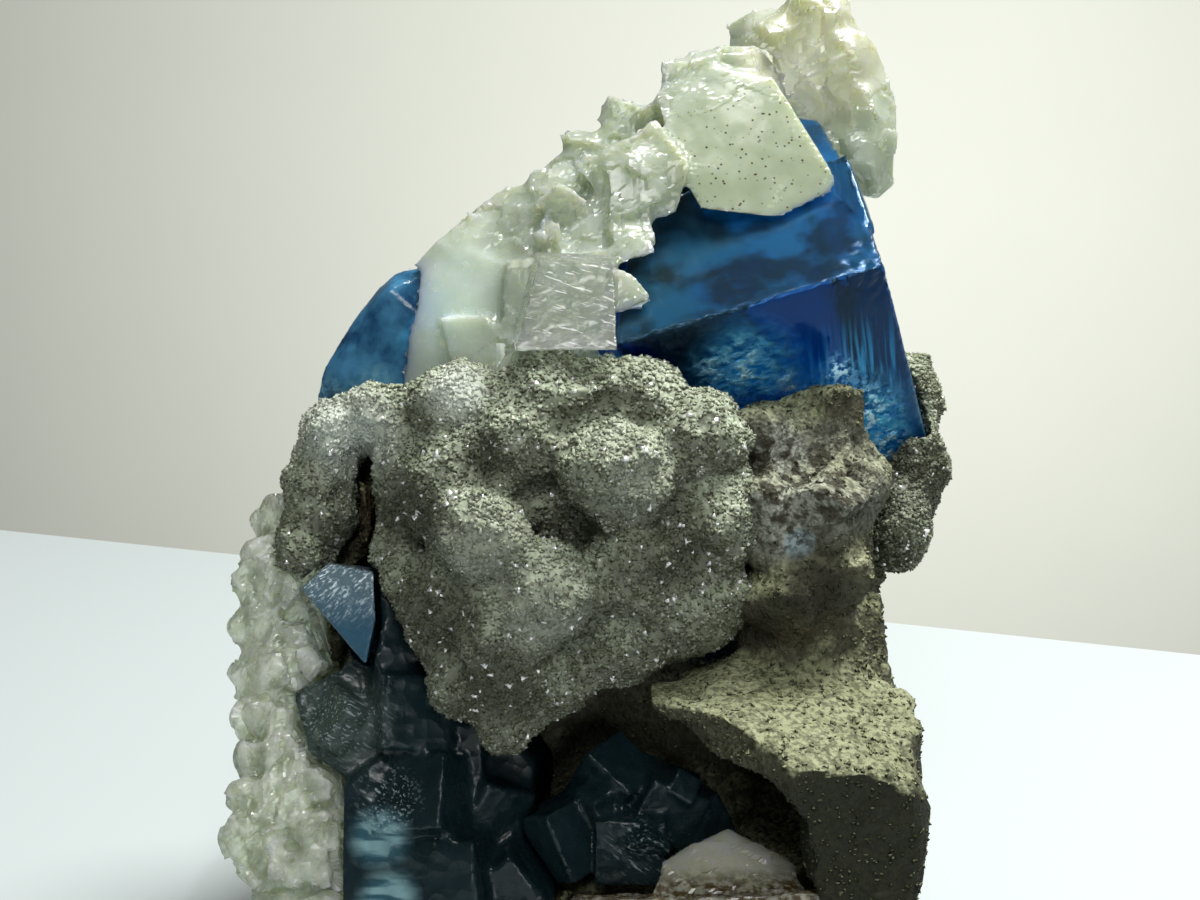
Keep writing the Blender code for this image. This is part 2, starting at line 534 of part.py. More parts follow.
def rock_blocks():
    """The matrix: base, spine behind the crystals, rough right wall, ledge and left back."""
    half_width = FOOT_WIDTH / 2
    half_depth = FOOT_DEPTH / 2
    foot_corners = [(-0.95, -0.62), (-0.5, -0.92), (0.42, -1.0), (0.96, -0.7), (1.0, 0.42), (0.6, 0.98),
                    (-0.42, 0.9), (-0.9, 0.5)]
    low = [Vector((x * half_width, y * half_depth, -1.0)) * MM for x, y in foot_corners]
    heights = (6.4, 7.4, 7.6, 11.0, 12.0, 13.0, 12.0, 9.0)
    high = [point * 1.05 + Vector((0, 0, height)) * MM for point, height in zip(low, heights)]
    base = hull(low + high)
    plinth_back = hull([Vector(place) * MM for place in (
        (-13, 2, 4), (13, 2, 4), (13, 13, 4), (-10, 13.4, 4), (-14, 2, 18), (14, 4, 19), (12, 14, 18),
        (-9, 15, 20))])
    spine = hull([Vector(place) * MM for place in (
        (-13, 3, 16), (13, 3, 16), (13, 14, 18), (-9, 15, 20), (-11, 7, 34), (15, 8, 32), (12, 18, 30),
        (-6, 18, 34))])
    crown_back = hull([Vector(place) * MM for place in (
        (-10, 6, 32), (14.5, 9, 29), (12, 18, 28), (-5, 17.5, 32), (-5, 8.5, 40), (12, 13, 44), (9, 18, 45),
        (0, 16, 42))])
    right_wall = hull([seen(7.2, 1.6, 3.0), seen(9.6, 2.8, 2.6), seen(13.4, 0.8, 4.0),
                       seen(13.7, -2.4, 1.6), seen(13.2, -5.4, 0.2), seen(12.4, -8.2, 0.8),
                       seen(9.6, -10.4, 0.6), seen(7.0, -9.6, 1.0), seen(9.4, -2.6, -1.2),
                       seen(10.6, -6.6, -1.8), seen(13.5, -2.4, 12), seen(12, -10, 12), seen(8, -8, 12),
                       seen(9, 2, 12)])
    rim_back = hull([seen(15.4, 3.4, 13), seen(16.2, -1.0, 12.6), seen(14.8, -5.6, 10.0),
                     seen(12.6, -8.6, 6), seen(13.6, -4.4, 4.4), seen(12, 2, 18), seen(13, -9, 18),
                     seen(10, -4, 8)])
    ledge = hull([seen(1.0, -11.6, -1.0), seen(5.2, -10.8, 2.4), seen(12.4, -9.4, 3.4),
                  seen(15.0, -11.2, 2.4), seen(16.6, -13.7, -2.0), seen(16.4, -16.6, -6.4),
                  seen(10.2, -15.8, -8.6), seen(5.2, -13.2, -5.6), seen(1.8, -12.4, -2.4),
                  seen(10.4, -15.6, 3.6), seen(5.4, -13.4, 3.0), seen(15.8, -18, 3),
                  seen(9.9, -17.6, -8.0), seen(16.2, -18.0, -6.6)])
    ledge_side = hull([seen(10.4, -15.2, -6.6), seen(16.3, -15.4, -5.2), seen(16.6, -18.6, -5.4),
                       seen(16.4, -22.0, -4.6), seen(15.2, -25.0, -4.6), seen(11.0, -24.4, -5.2),
                       seen(10.0, -18.6, -6.8), seen(15.4, -14.4, 10), seen(14.6, -25, 10),
                       seen(10.6, -24, 10), seen(10.6, -15.8, 10)])
    knob = hull([seen(11.4, -8.4, 0.4), seen(13.4, -7.9, 1.2), seen(13.8, -10.4, 0.8),
                 seen(11.6, -10.8, -0.2), seen(12.4, -9.2, 5), seen(13.2, -10.2, 5)])
    cavity_back = hull([seen(-6, -10, 6.5), seen(9, -10, 6.5), seen(9, -24, 6.5), seen(-8, -24, 6.5),
                        seen(-6, -10, 14), seen(9, -10, 14), seen(9, -24, 14), seen(-8, -24, 14)])
    left_back = hull([seen(-14.2, 1.6, 7.0), seen(-9.6, 2.6, 7.4), seen(-9.4, -10, 5.4),
                      seen(-15.6, -9.6, 5.0), seen(-16.4, -4, 6.6), seen(-13, 2, 15), seen(-8, 2, 16),
                      seen(-8, -12, 15), seen(-15, -12, 14)])
    left_low = hull([seen(-16.6, -8, 5.0), seen(-9.5, -8, 6.0), seen(-7, -25, 4.0), seen(-16.8, -25, 2.4),
                     seen(-16.8, -16, 3.2), seen(-15, -9, 14), seen(-8, -9, 15), seen(-7, -24, 14),
                     seen(-15.5, -24, 13)])
    crag = hull([seen(-13.2, -0.8, 3.0), seen(-10.6, -1.8, 2.8), seen(-10.2, -5.6, 3.4),
                 seen(-12.0, -5.4, 4.2), seen(-11.5, -2, 8), seen(-12, -5, 8)])
    wall_foot = hull([seen(14.2, -7.0, 4.5), seen(8.6, -8.0, 4.0), seen(8.6, -16, 4.0),
                      seen(15.4, -14.8, 3.5), seen(13.0, -7.0, 16), seen(8.6, -16, 16),
                      seen(14.4, -15, 16)])
    walls = [base, plinth_back, spine, crown_back, right_wall, rim_back, wall_foot, cavity_back]
    return walls + [ledge, ledge_side, knob, left_back, left_low, crag] + wall_crags() + back_crags()


def wall_crags():
    """Broken pieces that stand out of the rough right wall."""
    places = [((8.2, 0.6, 1.6), (3.2, 2.8, 3.0), 71), ((11.4, 1.4, 2.4), (3.6, 3.0, 2.4), 72),
              ((8.6, -3.4, -0.2), (3.4, 3.0, 3.2), 73), ((11.8, -3.0, -0.4), (3.4, 3.2, 3.6), 74),
              ((9.2, -7.2, 0.0), (3.8, 3.2, 3.2), 75), ((12.2, -6.2, 0.0), (3.0, 3.0, 3.4), 76),
              ((13.2, -1.0, 2.4), (2.4, 3.0, 3.4), 77)]
    return [rhomb(middle, size, seed, lean=0.15) for middle, size, seed in places]


def back_crags():
    """Blocks that stand out of the broken back, in millimetres from the foot's middle."""
    places = [((-6, 15.5, 12), (9, 7, 8), 51), ((6, 14.5, 8), (10, 7, 7), 52), ((2, 17.5, 22), (9, 6, 9),
              53), ((-7.5, 15, 28), (8, 7, 8), 54), ((9, 15.5, 27), (8, 6, 7), 55), ((-10, 9, 20),
              (7, 9, 8), 56), ((13, 6, 16), (6, 9, 8), 57), ((3, 17, 34), (8, 6, 7), 58), ((12, 9, 6),
              (7, 8, 6), 59)]
    return [broken_block(Vector(middle) * MM, size, seed, 0.2) for middle, size, seed in places]


def below_foot():
    """Everything under the flat cut."""
    bm = bmesh.new()
    middle = Matrix.Translation((0, 0, -CUT_SIZE / 2))
    bmesh.ops.create_cube(bm, size=CUT_SIZE, matrix=middle)
    return mesh_from(bm, "below")


# Materials and objects

def material(name, colour, roughness, transmission=0.0):
    made = bpy.data.materials.new(name)
    made.use_nodes = True
    shader = made.node_tree.nodes["Principled BSDF"]
    shader.inputs["Base Color"].default_value = (*colour, 1)
    shader.inputs["Roughness"].default_value = roughness
    shader.inputs["Metallic"].default_value = 0.0
    shader.inputs["Transmission Weight"].default_value = transmission
    made.diffuse_color = (*colour, 1)
    return made


def piece(name, mesh, finish):
    obj = bpy.data.objects.new(name, mesh)
    mesh.name = name
    mesh.materials.clear()
    mesh.materials.append(finish)
    bpy.context.scene.collection.objects.link(obj)
    return obj


def main():
    for obj in list(bpy.data.objects):
        bpy.data.objects.remove(obj)

    fluorites = {
        "fluorite_crown": crown_blocks(),
        "fluorite_shoulder": shoulder_blocks(),
        "fluorite_corner": corner_blocks(),
        "fluorite_recess": recess_blocks(),
        "fluorite_chips": chip_blocks(),
    }
    calcites = {
        "calcite_rhomb": front_rhomb_blocks(),
        "calcite_ridge": ridge_blocks(),
        "calcite_frill": frill_blocks(),
        "calcite_foot": calcite_foot_blocks(),
    }
    solids = {}
    beds = [below_foot()]
    for name, blocks in list(fluorites.items()) + list(calcites.items()):
        solids[name] = largest_body(cut(fused(blocks), beds))
        beds.append(bed_for(blocks))

    lumpy = {
        "calcite_peak": weathered(peak_lumps(), DRUSE_VOXEL, PEAK_FACES, 2.4, 0.7, SEED + 3),
        "quartz_druse": weathered(druse_lumps(), DRUSE_VOXEL, DRUSE_FACES, 2.0, 0.4, SEED),
        "druse_rim": weathered(rim_lumps(), DRUSE_VOXEL, RIM_FACES, 2.0, 0.5, SEED + 1),
    }
    for name, body in lumpy.items():
        solids[name] = largest_body(cut(body, beds))
    beds += [swollen(body, GAP) for body in lumpy.values()]
    rock = weathered(rock_blocks(), ROCK_VOXEL, ROCK_FACES, 2.8, 0.5, SEED + 2)
    solids["matrix_rock"] = largest_body(cut(rock, beds))

    blue = material("fluorite", (0.02, 0.12, 0.38), 0.08, 0.9)
    dark_blue = material("fluorite_dark", (0.01, 0.05, 0.08), 0.1, 0.5)
    cream = material("calcite", (0.68, 0.74, 0.60), 0.28, 0.3)
    clear = material("calcite_clear", (0.80, 0.83, 0.78), 0.2, 0.6)
    sugar = material("druse", (0.40, 0.43, 0.34), 0.5)
    rock_finish = material("matrix", (0.34, 0.36, 0.25), 0.85)
    finishes = {
        "fluorite_crown": blue,
        "fluorite_shoulder": blue,
        "fluorite_corner": blue,
        "fluorite_recess": dark_blue,
        "fluorite_chips": dark_blue,
        "calcite_rhomb": clear,
        "calcite_ridge": cream,
        "calcite_peak": cream,
        "calcite_frill": clear,
        "calcite_foot": cream,
        "quartz_druse": sugar,
        "druse_rim": sugar,
        "matrix_rock": rock_finish,
    }
    for name, mesh in solids.items():
        piece(name, mesh, finishes[name])


main()
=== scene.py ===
"""The looks of the blue fluorite specimen: its surfaces, grains and light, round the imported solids."""
import math

import bmesh
import bpy
import numpy as np
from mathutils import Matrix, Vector, noise


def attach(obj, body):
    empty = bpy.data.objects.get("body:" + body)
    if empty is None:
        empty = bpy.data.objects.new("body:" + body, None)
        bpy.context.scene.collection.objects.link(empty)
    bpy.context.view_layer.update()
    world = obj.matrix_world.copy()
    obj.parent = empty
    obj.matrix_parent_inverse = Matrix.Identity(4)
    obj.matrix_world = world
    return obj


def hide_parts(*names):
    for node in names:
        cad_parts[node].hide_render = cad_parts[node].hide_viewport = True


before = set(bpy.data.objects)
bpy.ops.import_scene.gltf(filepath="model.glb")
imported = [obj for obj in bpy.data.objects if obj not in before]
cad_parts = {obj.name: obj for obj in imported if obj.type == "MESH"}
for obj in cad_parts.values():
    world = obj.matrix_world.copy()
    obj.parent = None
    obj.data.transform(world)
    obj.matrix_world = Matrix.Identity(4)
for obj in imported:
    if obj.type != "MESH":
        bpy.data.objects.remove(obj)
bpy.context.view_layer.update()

MM = 0.001
SEED = 11

# The vectors that noise.noise_vector gives differ from run to run without a seed
noise.seed_set(SEED)

# The photograph's view, in millimetres: the same frame of reference that places the pieces
VIEW_TILT = math.radians(15)
VIEW_DISTANCE = 100.0
VIEW_MIDDLE = Vector((1.2, -2.6, 30.5))
VIEW_WIDTH = 60.0
SENSOR = 36.0
VIEW_RIGHT = Vector((1, 0, 0))
VIEW_UP = Vector((0, math.sin(VIEW_TILT), math.cos(VIEW_TILT)))
VIEW_BACK = Vector((0, math.cos(VIEW_TILT), -math.sin(VIEW_TILT)))


def seen(right, up, back):
    """The place seen at (right, up) millimetres in the view, back millimetres behind its middle."""
    spread = 1 + back / VIEW_DISTANCE
    place = VIEW_RIGHT * right * spread + VIEW_UP * up * spread + VIEW_BACK * back
    return (VIEW_MIDDLE + place) * MM


def on_floor(right, up):
    """The place on the floor that is seen at (right, up)."""
    eye = seen(0, 0, -VIEW_DISTANCE)
    sight = seen(right, up, 0) - eye
    return eye - sight * (eye.z / sight.z)


def turned(right, up, back):
    """The unit direction with these parts in the view."""
    return (VIEW_RIGHT * right + VIEW_UP * up + VIEW_BACK * back).normalized()


# The large cube: its near corner, the way its growth lines run and the ways its two front faces look
CROWN_CORNER = seen(14.25, 9.25, 0.5)
CROWN_GRAIN = turned(0.154, -0.733, 0.663)
CROWN_UPPER = turned(-0.154, 0.733, -0.663)
CROWN_LOWER = turned(0.261, -0.618, -0.740)

# The middle of the painted highlight streaks on the large cube's lower face
PAINTED_STREAK_PLACE = seen(13.6, 2.6, 3.2)

# The smooth parts of the calcite: the plate on the cube and the milky mass at the left
PLATE_PLACE = seen(8, 15, 4.5)
MASS_PLACE = seen(-8, 7, 4)

# The line where the hanging druse meets the rock wall
SEAM_PLACES = [seen(7.2, up, back) for up in (2.5, 0.5, -1.5, -3.5, -5.5, -7.5) for back in (-3, -1, 1)]
SEAM_REACH = 2.4
SEAM_SWELL = 0.9

# The back edge of the table, as (right, up) in the view
TABLE_EDGE_LEFT = (-30, -4.0)
TABLE_EDGE_RIGHT = (30, -10.25)

# Indices of refraction
FLUORITE_IOR = 1.434
CALCITE_IOR = 1.55
CLEAR_CALCITE_IOR = 1.5
QUARTZ_IOR = 1.54


# Camera

def make_camera():
    """The camera of the photograph."""
    data = bpy.data.cameras.new("camera")
    data.sensor_width = SENSOR
    data.lens = SENSOR / VIEW_WIDTH * VIEW_DISTANCE
    data.clip_start = 1 * MM
    data.clip_end = 5
    camera = bpy.data.objects.new("camera", data)
    bpy.context.scene.collection.objects.link(camera)
    camera.location = seen(0, 0, -VIEW_DISTANCE)
    camera.rotation_euler = (math.pi / 2 - VIEW_TILT, 0, 0)
    bpy.context.scene.camera = camera


# Node graphs

class Graph:
    """A material's nodes, with positions in millimetres."""

    def __init__(self, name):
        self.material = bpy.data.materials.new(name)
        self.material.use_nodes = True
        self.tree = self.material.node_tree
        self.shader = self.tree.nodes["Principled BSDF"]
        self.output = self.tree.nodes["Material Output"]
        coordinates = self.node("ShaderNodeTexCoord")
        scaled = self.node("ShaderNodeVectorMath", operation="SCALE")
        scaled.inputs["Scale"].default_value = 1 / MM
        self.tree.links.new(coordinates.outputs["Object"], scaled.inputs[0])
        self.place = scaled.outputs["Vector"]

    def node(self, kind, **settings):
        made = self.tree.nodes.new(kind)
        for key, value in settings.items():
            setattr(made, key, value)
        return made

    def feed(self, socket, value):
        """Links an output to a socket, or sets a plain value there."""
        if isinstance(value, bpy.types.NodeSocket):
            self.tree.links.new(value, socket)
        else:
            socket.default_value = value

    def noise(self, size, detail=3.0, roughness=0.55, distortion=0.0, at=None):
        """Noise with lumps of about this size in millimetres."""
        made = self.node("ShaderNodeTexNoise")
        self.feed(made.inputs["Vector"], at or self.place)
        made.inputs["Scale"].default_value = 1 / size
        made.inputs["Detail"].default_value = detail
        made.inputs["Roughness"].default_value = roughness
        made.inputs["Distortion"].default_value = distortion
        return made.outputs["Fac"]

    def cells(self, size):
        """The distance to the middle of the nearest cell, for cells of about this size in millimetres."""
        made = self.node("ShaderNodeTexVoronoi", feature="F1")
        self.feed(made.inputs["Vector"], self.place)
        made.inputs["Scale"].default_value = 1 / size
        return made.outputs["Distance"]

    def stretched(self, along, amount):
        """The place squeezed along a direction, so that a texture is drawn out that way."""
        along = along.normalized()
        dot = self.node("ShaderNodeVectorMath", operation="DOT_PRODUCT")
        self.feed(dot.inputs[0], self.place)
        dot.inputs[1].default_value = along
        part = self.node("ShaderNodeVectorMath", operation="SCALE")
        part.inputs[0].default_value = along * (amount - 1)
        self.feed(part.inputs["Scale"], dot.outputs["Value"])
        total = self.node("ShaderNodeVectorMath", operation="ADD")
        self.feed(total.inputs[0], self.place)
        self.feed(total.inputs[1], part.outputs["Vector"])
        return total.outputs["Vector"]

    def math(self, operation, first, second=0.0, clamp=False):
        made = self.node("ShaderNodeMath", operation=operation, use_clamp=clamp)
        self.feed(made.inputs[0], first)
        self.feed(made.inputs[1], second)
        return made.outputs[0]

    def times(self, first, second):
        return self.math("MULTIPLY", first, second)

    def most(self, first, second):
        return self.math("MAXIMUM", first, second)

    def ramp(self, value, stops):
        """A value from 0 to 1 between pairs of (position, height)."""
        made = self.node("ShaderNodeValToRGB")
        elements = made.color_ramp.elements
        while len(elements) < len(stops):
            elements.new(0.5)
        for element, (position, height) in zip(elements, stops):
            element.position = position
            element.color = (height, height, height, 1)
        self.feed(made.inputs["Fac"], value)
        return made.outputs["Color"]

    def mix(self, amount, first, second):
        """From the first to the second, each an output, a colour or a plain value as a grey."""
        made = self.node("ShaderNodeMix", data_type="RGBA")
        self.feed(made.inputs["Factor"], amount)
        for socket, value in ((made.inputs[6], first), (made.inputs[7], second)):
            if isinstance(value, (int, float)):
                value = (value, value, value)
            if isinstance(value, tuple):
                value = (*value, 1)
            self.feed(socket, value)
        return made.outputs[2]

    def layered(self, colour, *layers):
        """A colour with others laid over it in turn, each as (amount, colour)."""
        for amount, over in layers:
            colour = self.mix(amount, colour, over)
        return colour

    def near(self, place, reach, soft):
        """1 near a place, 0 past reach millimetres, with a soft edge."""
        made = self.node("ShaderNodeVectorMath", operation="DISTANCE")
        self.feed(made.inputs[0], self.place)
        made.inputs[1].default_value = place / MM
        return self.span(made.outputs["Value"], reach, reach * (1 - soft))

    def near_any(self, spots, soft=0.6):
        """The same for the nearest of several (right, up, back, reach)."""
        total = 0.0
        for right, up, back, reach in spots:
            total = self.most(self.near(seen(right, up, back), reach, soft), total)
        return total

    def toward(self, spots, soft=0.6):
        """1 near the sight lines through several (right, up, reach), at any depth."""
        eye = seen(0, 0, -VIEW_DISTANCE) / MM
        offset = self.node("ShaderNodeVectorMath", operation="SUBTRACT")
        self.feed(offset.inputs[0], self.place)
        offset.inputs[1].default_value = eye
        total = 0.0
        for right, up, reach in spots:
            cross = self.node("ShaderNodeVectorMath", operation="CROSS_PRODUCT")
            self.feed(cross.inputs[0], offset.outputs["Vector"])
            cross.inputs[1].default_value = (seen(right, up, 0) / MM - eye).normalized()
            length = self.node("ShaderNodeVectorMath", operation="LENGTH")
            self.feed(length.inputs[0], cross.outputs["Vector"])
            total = self.most(self.span(length.outputs["Value"], reach, reach * (1 - soft)), total)
        return total

    def facing(self, direction, low, high):
        """1 where the surface faces a direction, 0 where it turns from it."""
        made = self.node("ShaderNodeVectorMath", operation="DOT_PRODUCT")
        self.feed(made.inputs[0], self.node("ShaderNodeNewGeometry").outputs["Normal"])
        made.inputs[1].default_value = direction
        return self.span(made.outputs["Value"], low, high)

    def marked(self, name):
        """The value that the mesh carries under this name."""
        return self.node("ShaderNodeAttribute", attribute_name=name).outputs["Fac"]

    def chance(self):
        """A number from 0 to 1, one for each loose grain."""
        return self.node("ShaderNodeNewGeometry").outputs["Random Per Island"]

    def along(self, direction, start, reach):
        """0 at a start place and 1 at reach millimetres from it along a direction."""
        direction = direction.normalized()
        made = self.node("ShaderNodeVectorMath", operation="DOT_PRODUCT")
        self.feed(made.inputs[0], self.place)
        made.inputs[1].default_value = direction
        begin = (start / MM).dot(direction)
        return self.span(made.outputs["Value"], begin, begin + reach)

    def span(self, value, low, high):
        """The value's place between low and high, from 0 to 1."""
        made = self.node("ShaderNodeMapRange", clamp=True)
        self.feed(made.inputs["Value"], value)
        made.inputs["From Min"].default_value = low
        made.inputs["From Max"].default_value = high
        return made.outputs["Result"]

    def edges(self, low, high):
        """From 0 to 1 as the surface bulges more sharply outward."""
        return self.span(self.node("ShaderNodeNewGeometry").outputs["Pointiness"], low, high)

    def bump(self, height, depth, below=None):
        """Relief of this depth in millimetres."""
        made = self.node("ShaderNodeBump")
        made.inputs["Distance"].default_value = depth * MM
        made.inputs["Strength"].default_value = 1
        self.feed(made.inputs["Height"], height)
        if below is not None:
            self.feed(made.inputs["Normal"], below)
        return made.outputs["Normal"]

    def finish(self, **sockets):
        """Feeds the shader's sockets, with _ for each space in a name, and returns the material."""
        for name, value in sockets.items():
            self.feed(self.shader.inputs[name.replace("_", " ")], value)
        return self.material


def absorb(graph, colour, density):
    """Fills the material with an absorbing colour, its density per metre."""
    volume = graph.node("ShaderNodeVolumeAbsorption")
    volume.inputs["Color"].default_value = (*colour, 1)
    volume.inputs["Density"].default_value = density
    graph.tree.links.new(volume.outputs["Volume"], graph.output.inputs["Volume"])


def fluorite_material():
    """Deep blue and see-through, with growth lines and hazy patches, and painted light low on the large cube:
    a glowing blue, and white highlights on its cracks, in sparks and in streaks; a grey-blue painted sheen on
    the cube's upper face and painted shade on its lower face.
    """
    painted_spark_spots = [(13.2, 1.8, 2.6), (14.6, 0.2, 1.6), (12.0, 4.0, 1.2)]
    painted_crack_glint_spots = [(7.2, 4.1, 2.2), (5.4, 3.9, 1.6), (9.4, 3.2, 1.2)]
    painted_glow_spots = [(7.4, 3.8, 3.4), (13.4, 1.2, 3.6), (11.0, 2.2, 2.4)]
    graph = Graph("fluorite")
    absorb(graph, (0.01, 0.79, 0.93), 560)
    haze = graph.noise(2.6, 4)
    fine = graph.noise(0.4, 4)
    lines = graph.noise(0.3, 2, at=graph.stretched(CROWN_GRAIN, 0.05))
    crack = graph.noise(0.75, 5, 0.6, 0.4, at=graph.stretched(turned(-0.2, 1, 0.2), 1.8))
    upper = graph.facing(CROWN_UPPER, 0.9, 0.96)
    lower = graph.facing(CROWN_LOWER, 0.85, 0.95)
    # Painted glow: an electric blue painted low on the large cube, standing in for light that passes through
    # it
    painted_glow = graph.times(graph.toward(painted_glow_spots, 0.9), graph.ramp(haze, [(0.3, 0.6), (0.6, 1)]))
    # Painted highlights: white-blue streaks along the growth lines, sparks, and a patch on the cracks, made
    # metallic and less see-through
    painted_streak_highlights = graph.times(graph.ramp(lines, [(0.5, 0), (0.6, 1)]), graph.near(PAINTED_STREAK_PLACE, 5.0, 0.8))
    painted_sparks = graph.times(graph.ramp(fine, [(0.44, 0), (0.58, 1)]), graph.toward(painted_spark_spots, 0.8))
    painted_crack_glint = graph.times(graph.ramp(crack, [(0.38, 0), (0.68, 1)]), graph.toward(painted_crack_glint_spots, 0.8))
    white = graph.most(painted_sparks, painted_crack_glint)
    painted_highlights = graph.most(white, graph.times(painted_streak_highlights, 0.7))
    # Painted sheen and shade: the upper face is painted a hazy grey-blue as a sheen, the lower face a darker
    # navy as shade
    painted_sheen_blue = graph.mix(graph.ramp(haze, [(0.42, 0), (0.6, 1)]), (0.035, 0.085, 0.11), (0.05, 0.28, 0.52))
    painted_shade_blue = graph.mix(haze, (0.0, 0.03, 0.09), (0.0, 0.09, 0.22))
    painted_glow_blue = graph.mix(graph.ramp(crack, [(0.4, 0), (0.6, 1)]), (0.01, 0.26, 0.72), (0.14, 0.74, 1.0))
    body = graph.layered(
        graph.mix(haze, (0.14, 0.52, 0.70), (0.30, 0.74, 0.92)),
        (upper, painted_sheen_blue), (lower, painted_shade_blue), (painted_glow, painted_glow_blue),
        (painted_highlights, graph.mix(white, (0.10, 0.55, 1.0), (0.62, 0.90, 1.0))))
    relief = graph.bump(graph.mix(0.5, fine, lines), 0.012)
    return graph.finish(
        Base_Color=body, IOR=FLUORITE_IOR, Specular_IOR_Level=0.12, Specular_Tint=(0.30, 0.62, 1.0, 1),
        Roughness=graph.layered(graph.ramp(haze, [(0.35, 0.04), (0.7, 0.14)]), (upper, 0.22), (painted_highlights, 0.42)),
        Metallic=graph.times(painted_highlights, 0.7),
        Transmission_Weight=graph.layered(0.95, (upper, 0.8), (painted_glow, 0.3), (painted_highlights, 0.2)),
        Normal=graph.bump(graph.times(crack, painted_glow), 0.7, relief))


def dark_fluorite_material():
    """The teal crystals in the hollow, nearly black in the shade, banded and lighter at the left edge, with
    white painted glints on scales in a few spots.
    """
    banded_spots = [(-11.0, -19.4, 1.8), (-10.6, -22.5, 1.8)]
    grey_spots = [(-13.2, -13.5, 3.2)]
    painted_glitter_spots = [(-13.0, -13.2, 3.2), (2.0, -20.0, 2.0), (-10.6, -17.4, 2)]
    graph = Graph("fluorite_dark")
    absorb(graph, (0.15, 0.66, 0.72), 350)
    haze = graph.noise(1.8, 4)
    fine = graph.noise(0.35, 4)
    bands = graph.noise(0.5, 2, at=graph.stretched(VIEW_RIGHT, 0.2))
    thin = graph.noise(0.14, 3, at=graph.stretched(turned(0.8, -0.55, 0.2), 0.16))
    banded = graph.toward(banded_spots, 0.5)
    scales = graph.times(graph.ramp(thin, [(0.56, 0), (0.64, 1)]), haze)
    # Painted glints: scales painted near white in a few spots, and less see-through there
    painted_glitter = graph.times(scales, graph.toward(painted_glitter_spots))
    grey = graph.mix(haze, (0.05, 0.08, 0.07), (0.13, 0.19, 0.17))
    teal = graph.mix(graph.ramp(bands, [(0.4, 0), (0.6, 1)]), (0.04, 0.12, 0.16), (0.24, 0.42, 0.46))
    body = graph.layered(
        graph.mix(haze, (0.006, 0.02, 0.025), (0.025, 0.06, 0.075)),
        (graph.toward(grey_spots, 0.4), grey), (banded, teal), (painted_glitter, (0.75, 0.92, 0.95)))
    relief = graph.bump(graph.mix(0.5, fine, bands), 0.03)
    return graph.finish(
        Base_Color=body, IOR=FLUORITE_IOR, Specular_IOR_Level=0.3,
        Roughness=graph.ramp(haze, [(0.3, 0.16), (0.75, 0.42)]),
        Transmission_Weight=graph.mix(graph.most(banded, painted_glitter), 0.55, 0.15),
        Normal=graph.bump(graph.cells(0.8), 0.1, relief))


def shoulder_material():
    """The crystal at the upper left: a hazy mid-blue, brighter along its foot."""
    foot_spots = [(-14.0, 2.6, 1.8), (-12.4, 2.4, 1.6), (-11.2, 3.4, 1.2)]
    graph = Graph("fluorite_shoulder")
    absorb(graph, (0.05, 0.66, 0.86), 200)
    haze = graph.ramp(graph.noise(1.8, 4), [(0.38, 0), (0.62, 1)])
    foot = graph.times(graph.toward(foot_spots, 0.9),
                       graph.ramp(graph.noise(0.4, 4), [(0.42, 0.25), (0.6, 1)]))
    body = graph.layered(graph.mix(haze, (0.02, 0.12, 0.28), (0.12, 0.44, 0.76)), (foot, (0.34, 0.80, 1.0)))
    return graph.finish(
        Base_Color=body, IOR=FLUORITE_IOR, Roughness=0.14, Transmission_Weight=0.6,
        Normal=graph.bump(graph.noise(0.5, 4), 0.02))


def corner_material():
    """The small corner crystal: mid-blue below, with a lighter grey top on which glints are painted."""
    graph = Graph("fluorite_corner")
    absorb(graph, (0.3, 0.75, 0.9), 200)
    fine = graph.noise(0.3, 4)
    top = graph.along(VIEW_UP, seen(-13, -9.0, 1), 2.6)
    thin = graph.noise(0.12, 3, at=graph.stretched(turned(0.7, 0.7, 0), 0.3))
    scales = graph.times(graph.ramp(thin, [(0.5, 0), (0.6, 1)]), graph.ramp(fine, [(0.4, 0), (0.55, 1)]))
    # Painted glints: scales on the top painted near white, and less see-through there
    painted_glitter = graph.times(scales, top)
    body = graph.layered(
        graph.mix(graph.noise(1.2, 3), (0.03, 0.10, 0.18), (0.10, 0.26, 0.38)),
        (graph.times(top, 0.4), (0.45, 0.55, 0.56)), (painted_glitter, (0.80, 0.94, 1.0)))
    return graph.finish(
        Base_Color=body, IOR=FLUORITE_IOR, Roughness=0.12,
        Transmission_Weight=graph.mix(painted_glitter, 0.5, 0.1), Normal=graph.bump(fine, 0.08))


